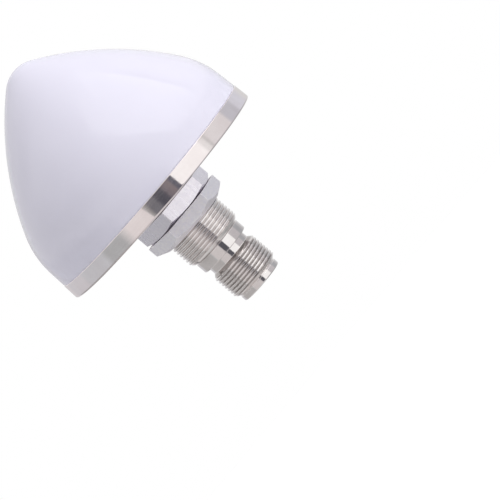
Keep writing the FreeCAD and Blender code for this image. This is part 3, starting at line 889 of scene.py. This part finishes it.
# Round the panel the room is plain, with a shaded band over the panel, a lit
# strip at its left, a slanted glow and a shade at the left, and a low glow.
room_level = 0.84
shade_band = product(tree, fade(tree, right, 33.0, 48.0), fade(tree, right, 80.0, 77.0),
                     fade(tree, below_top, 1.0, -0.5), fade(tree, below_top, -12.0, -5.0))
strip_start = calc(tree, "SUBTRACT", right, calc(tree, "MULTIPLY", away, 0.6))
strip_end = calc(tree, "ADD", away, calc(tree, "MULTIPLY", right, 0.42))
side_glow = product(tree, fade(tree, strip_start, 17.0, 19.5), fade(tree, past_left, -0.6, -1.8),
                    fade(tree, away, 6.0, -26.0), fade(tree, strip_end, -28.0, -26.5))
slant_edge = calc(tree, "SUBTRACT", -17.4, calc(tree, "MULTIPLY", right, 0.967))
under_slant = calc(tree, "SUBTRACT", slant_edge, away)
slant_glow = product(tree, fade(tree, under_slant, -0.8, 1.2), fade(tree, under_slant, 34.0, 6.0),
                     fade(tree, right, -12.0, -24.0), fade(tree, right, -54.0, -46.0))
low_shade = product(tree, fade(tree, right, -64.0, -52.0), fade(tree, right, 2.0, -12.0),
                    fade(tree, away, -52.0, -42.0), fade(tree, away, -16.0, -24.0))
far_left_glow = product(tree, fade(tree, right, -62.0, -82.0), fade(tree, from_top, 86.0, 78.0))
near_left_glow = product(tree, fade(tree, from_top, 66.0, 82.0), fade(tree, azimuth, -70.0, -50.0),
                         fade(tree, azimuth, -12.0, -28.0))
left_glow = calc(tree, "MAXIMUM", far_left_glow, near_left_glow)
room_parts = ((shade_band, -0.45), (side_glow, 0.95), (slant_glow, 0.40), (low_shade, -0.20),
              (left_glow, 0.38))
for share, strength in room_parts:
    room_level = calc(tree, "ADD", room_level, calc(tree, "MULTIPLY", share, strength))
upper_level = add(tree, "ShaderNodeMix", {0: panel, 2: room_level, 3: panel_level})
upper_room = grey_of(tree, upper_level)

# Under the horizon the ground is dark at the left, pale in front and grey at
# the right.
ground = colour_mix(tree, fade(tree, azimuth, -60.0, -15.0), (0.12, 0.11, 0.11), (0.66, 0.64, 0.69))
ground = colour_mix(tree, fade(tree, azimuth, 55.0, 80.0), ground, (0.34, 0.33, 0.34))
room = colour_mix(tree, fade(tree, elevation, 1.0, 4.0), walls, upper_room)
room = colour_mix(tree, fade(tree, elevation, -14.0, -40.0), room, ground)

# What falls on the dull surfaces is the sum of broad soft lights, each
# strength x max(0, direction . side) to the power 8.
soft_lights = (
    ((0.58, -0.58, 0.58), 2.49), ((0.71, 0.0, 0.71), 2.18), ((-0.71, 0.71, 0.0), 1.20),
    ((-0.58, 0.58, 0.58), 0.96), ((-0.71, -0.71, 0.0), 0.74), ((0.0, 0.0, 1.0), 0.50),
    ((-0.58, -0.58, 0.58), 0.10),
)
soft_level = 0.0
for side, strength in soft_lights:
    to_light = Vector(side).normalized()
    lean = add(tree, "ShaderNodeVectorMath", {0: direction, 1: to_light}, operation="DOT_PRODUCT")
    lobe = calc(tree, "POWER", calc(tree, "MAXIMUM", lean.node.outputs["Value"], 0.0), 8.0)
    soft_level = calc(tree, "ADD", calc(tree, "MULTIPLY", lobe, strength), soft_level)
soft = grey_of(tree, soft_level)

light_path = tree.nodes.new("ShaderNodeLightPath")
seen = colour_mix(tree, light_path.outputs["Is Glossy Ray"], soft, room)
seen = colour_mix(tree, light_path.outputs["Is Camera Ray"], seen, (1.0, 1.0, 1.0))
background = tree.nodes["Background"]
tree.links.new(seen, background.inputs["Color"])


# Cards: plain cards that only the shine of the metal sees. Two black ones with
# slanted sides stand in front, a beige one behind them to the left, grey ones at
# the sides and a pale one below.
def card(name, corners, bands, low, high, axis):
    """A flat stage card; its glow runs in bands along one axis, from low to high in mm."""
    piece = piece_from(name, np.array(corners) * mm, [(0, 1, 2, 3)])
    piece.visible_camera = False
    piece.visible_diffuse = False
    piece.visible_shadow = False
    material, tree, shader = new_finish(name, Base_Color=(0, 0, 0, 1), Roughness=1.0,
                                        Specular_IOR_Level=0.0, Emission_Strength=1.0)
    parts = add(tree, "ShaderNodeSeparateXYZ", {"Vector": object_place(tree)})
    share = spread(tree, parts.node.outputs[axis], 0.0, 1.0, low * mm, high * mm)
    wire(tree, shader, Emission_Color=banded(tree, share, bands, low, high))
    piece.data.materials.append(material)


card("black_card", ((-42.6, -135, 45), (38.4, -135, 45), (47.5, -135, -30), (21.1, -135, -30)),
     ((-42, grey(0.52)), (-33, grey(0.30)), (-28, grey(0.17, 0.0, 0.02)), (-14, grey(0.17, 0.0, 0.02)),
      (-7, grey(0.09, 0.0, 0.02)), (6, grey(0.09, 0.0, 0.02)), (13, grey(0.17, 0.02, 0.02)),
      (26, grey(0.20, 0.03, 0.01)), (31, grey(0.13, 0.0, 0.03)), (43, grey(0.12, 0.0, 0.03))), -43, 48, 0)
card("lower_black_card", ((-13.1, -134, 15), (40.7, -134, 15), (47.5, -134, -30), (25.1, -134, -30)),
     ((-14, grey(0.10, 0.0, 0.015)), (48, grey(0.10, 0.0, 0.015))), -14, 48, 0)
card("beige_card", ((-145, -140, -60), (20, -140, -60), (20, -140, 22), (-145, -140, 22)),
     ((-145, grey(0.60, 0.03, 0.0)), (20, grey(0.60, 0.03, 0.0))), -145, 20, 0)
card("right_card", ((110, -69, -60), (110, 160, -60), (110, 160, 20), (110, -69, 20)),
     ((-69, grey(0.53, 0.02, 0.02)), (6, grey(0.53, 0.02, 0.02)), (12, grey(0.42, -0.01, 0.02)),
      (62, grey(0.42, -0.01, 0.02)), (74, grey(0.49, 0.0, 0.02)), (160, grey(0.55))), -69, 160, 1)
card("left_card", ((-110, -92, -60), (-110, -92, 25), (-110, 112, 25), (-110, 112, -60)),
     ((-60, grey(0.45, 0.01)), (7, grey(0.45, 0.01)), (11, grey(0.06)), (16, grey(0.06)),
      (21, grey(0.46)), (25, grey(0.46))), -60, 25, 2)
card("low_card", ((-65, -65, -40), (-65, 65, -40), (65, 65, -40), (65, -65, -40)),
     ((-65, grey(0.62, 0.02, 0.0)), (5, grey(0.60)), (15, grey(0.50)), (28, grey(0.36)),
      (50, grey(0.40))), -65, 65, 0)


# Camera: a long lens a metre away that looks a little down on the rim of the
# base. It is rolled, so that the part lies across the picture with its nose at
# the upper left.
camera_distance = 1.0
camera_rise = math.radians(3.562)
camera_roll = math.radians(49.68)
camera_level = 40.56 * mm
camera_aim = Vector((4.391, 0.0, 8.127)) * mm

camera_data = bpy.data.cameras.new("camera")
camera_data.sensor_width = 36.0
camera_data.lens = 264.44
camera_data.clip_start = 0.01
camera_data.clip_end = 20.0
camera = bpy.data.objects.new("camera", camera_data)
scene.collection.objects.link(camera)
eye = Vector((0.0, -math.cos(camera_rise), math.sin(camera_rise))) * camera_distance
eye += Vector((0.0, 0.0, camera_level))
facing = (camera_aim - eye).to_track_quat("-Z", "Y")
camera.location = eye
camera.rotation_euler = (facing @ Quaternion((0.0, 0.0, 1.0), -camera_roll)).to_euler()
scene.camera = camera

scene.view_settings.view_transform = "Standard"
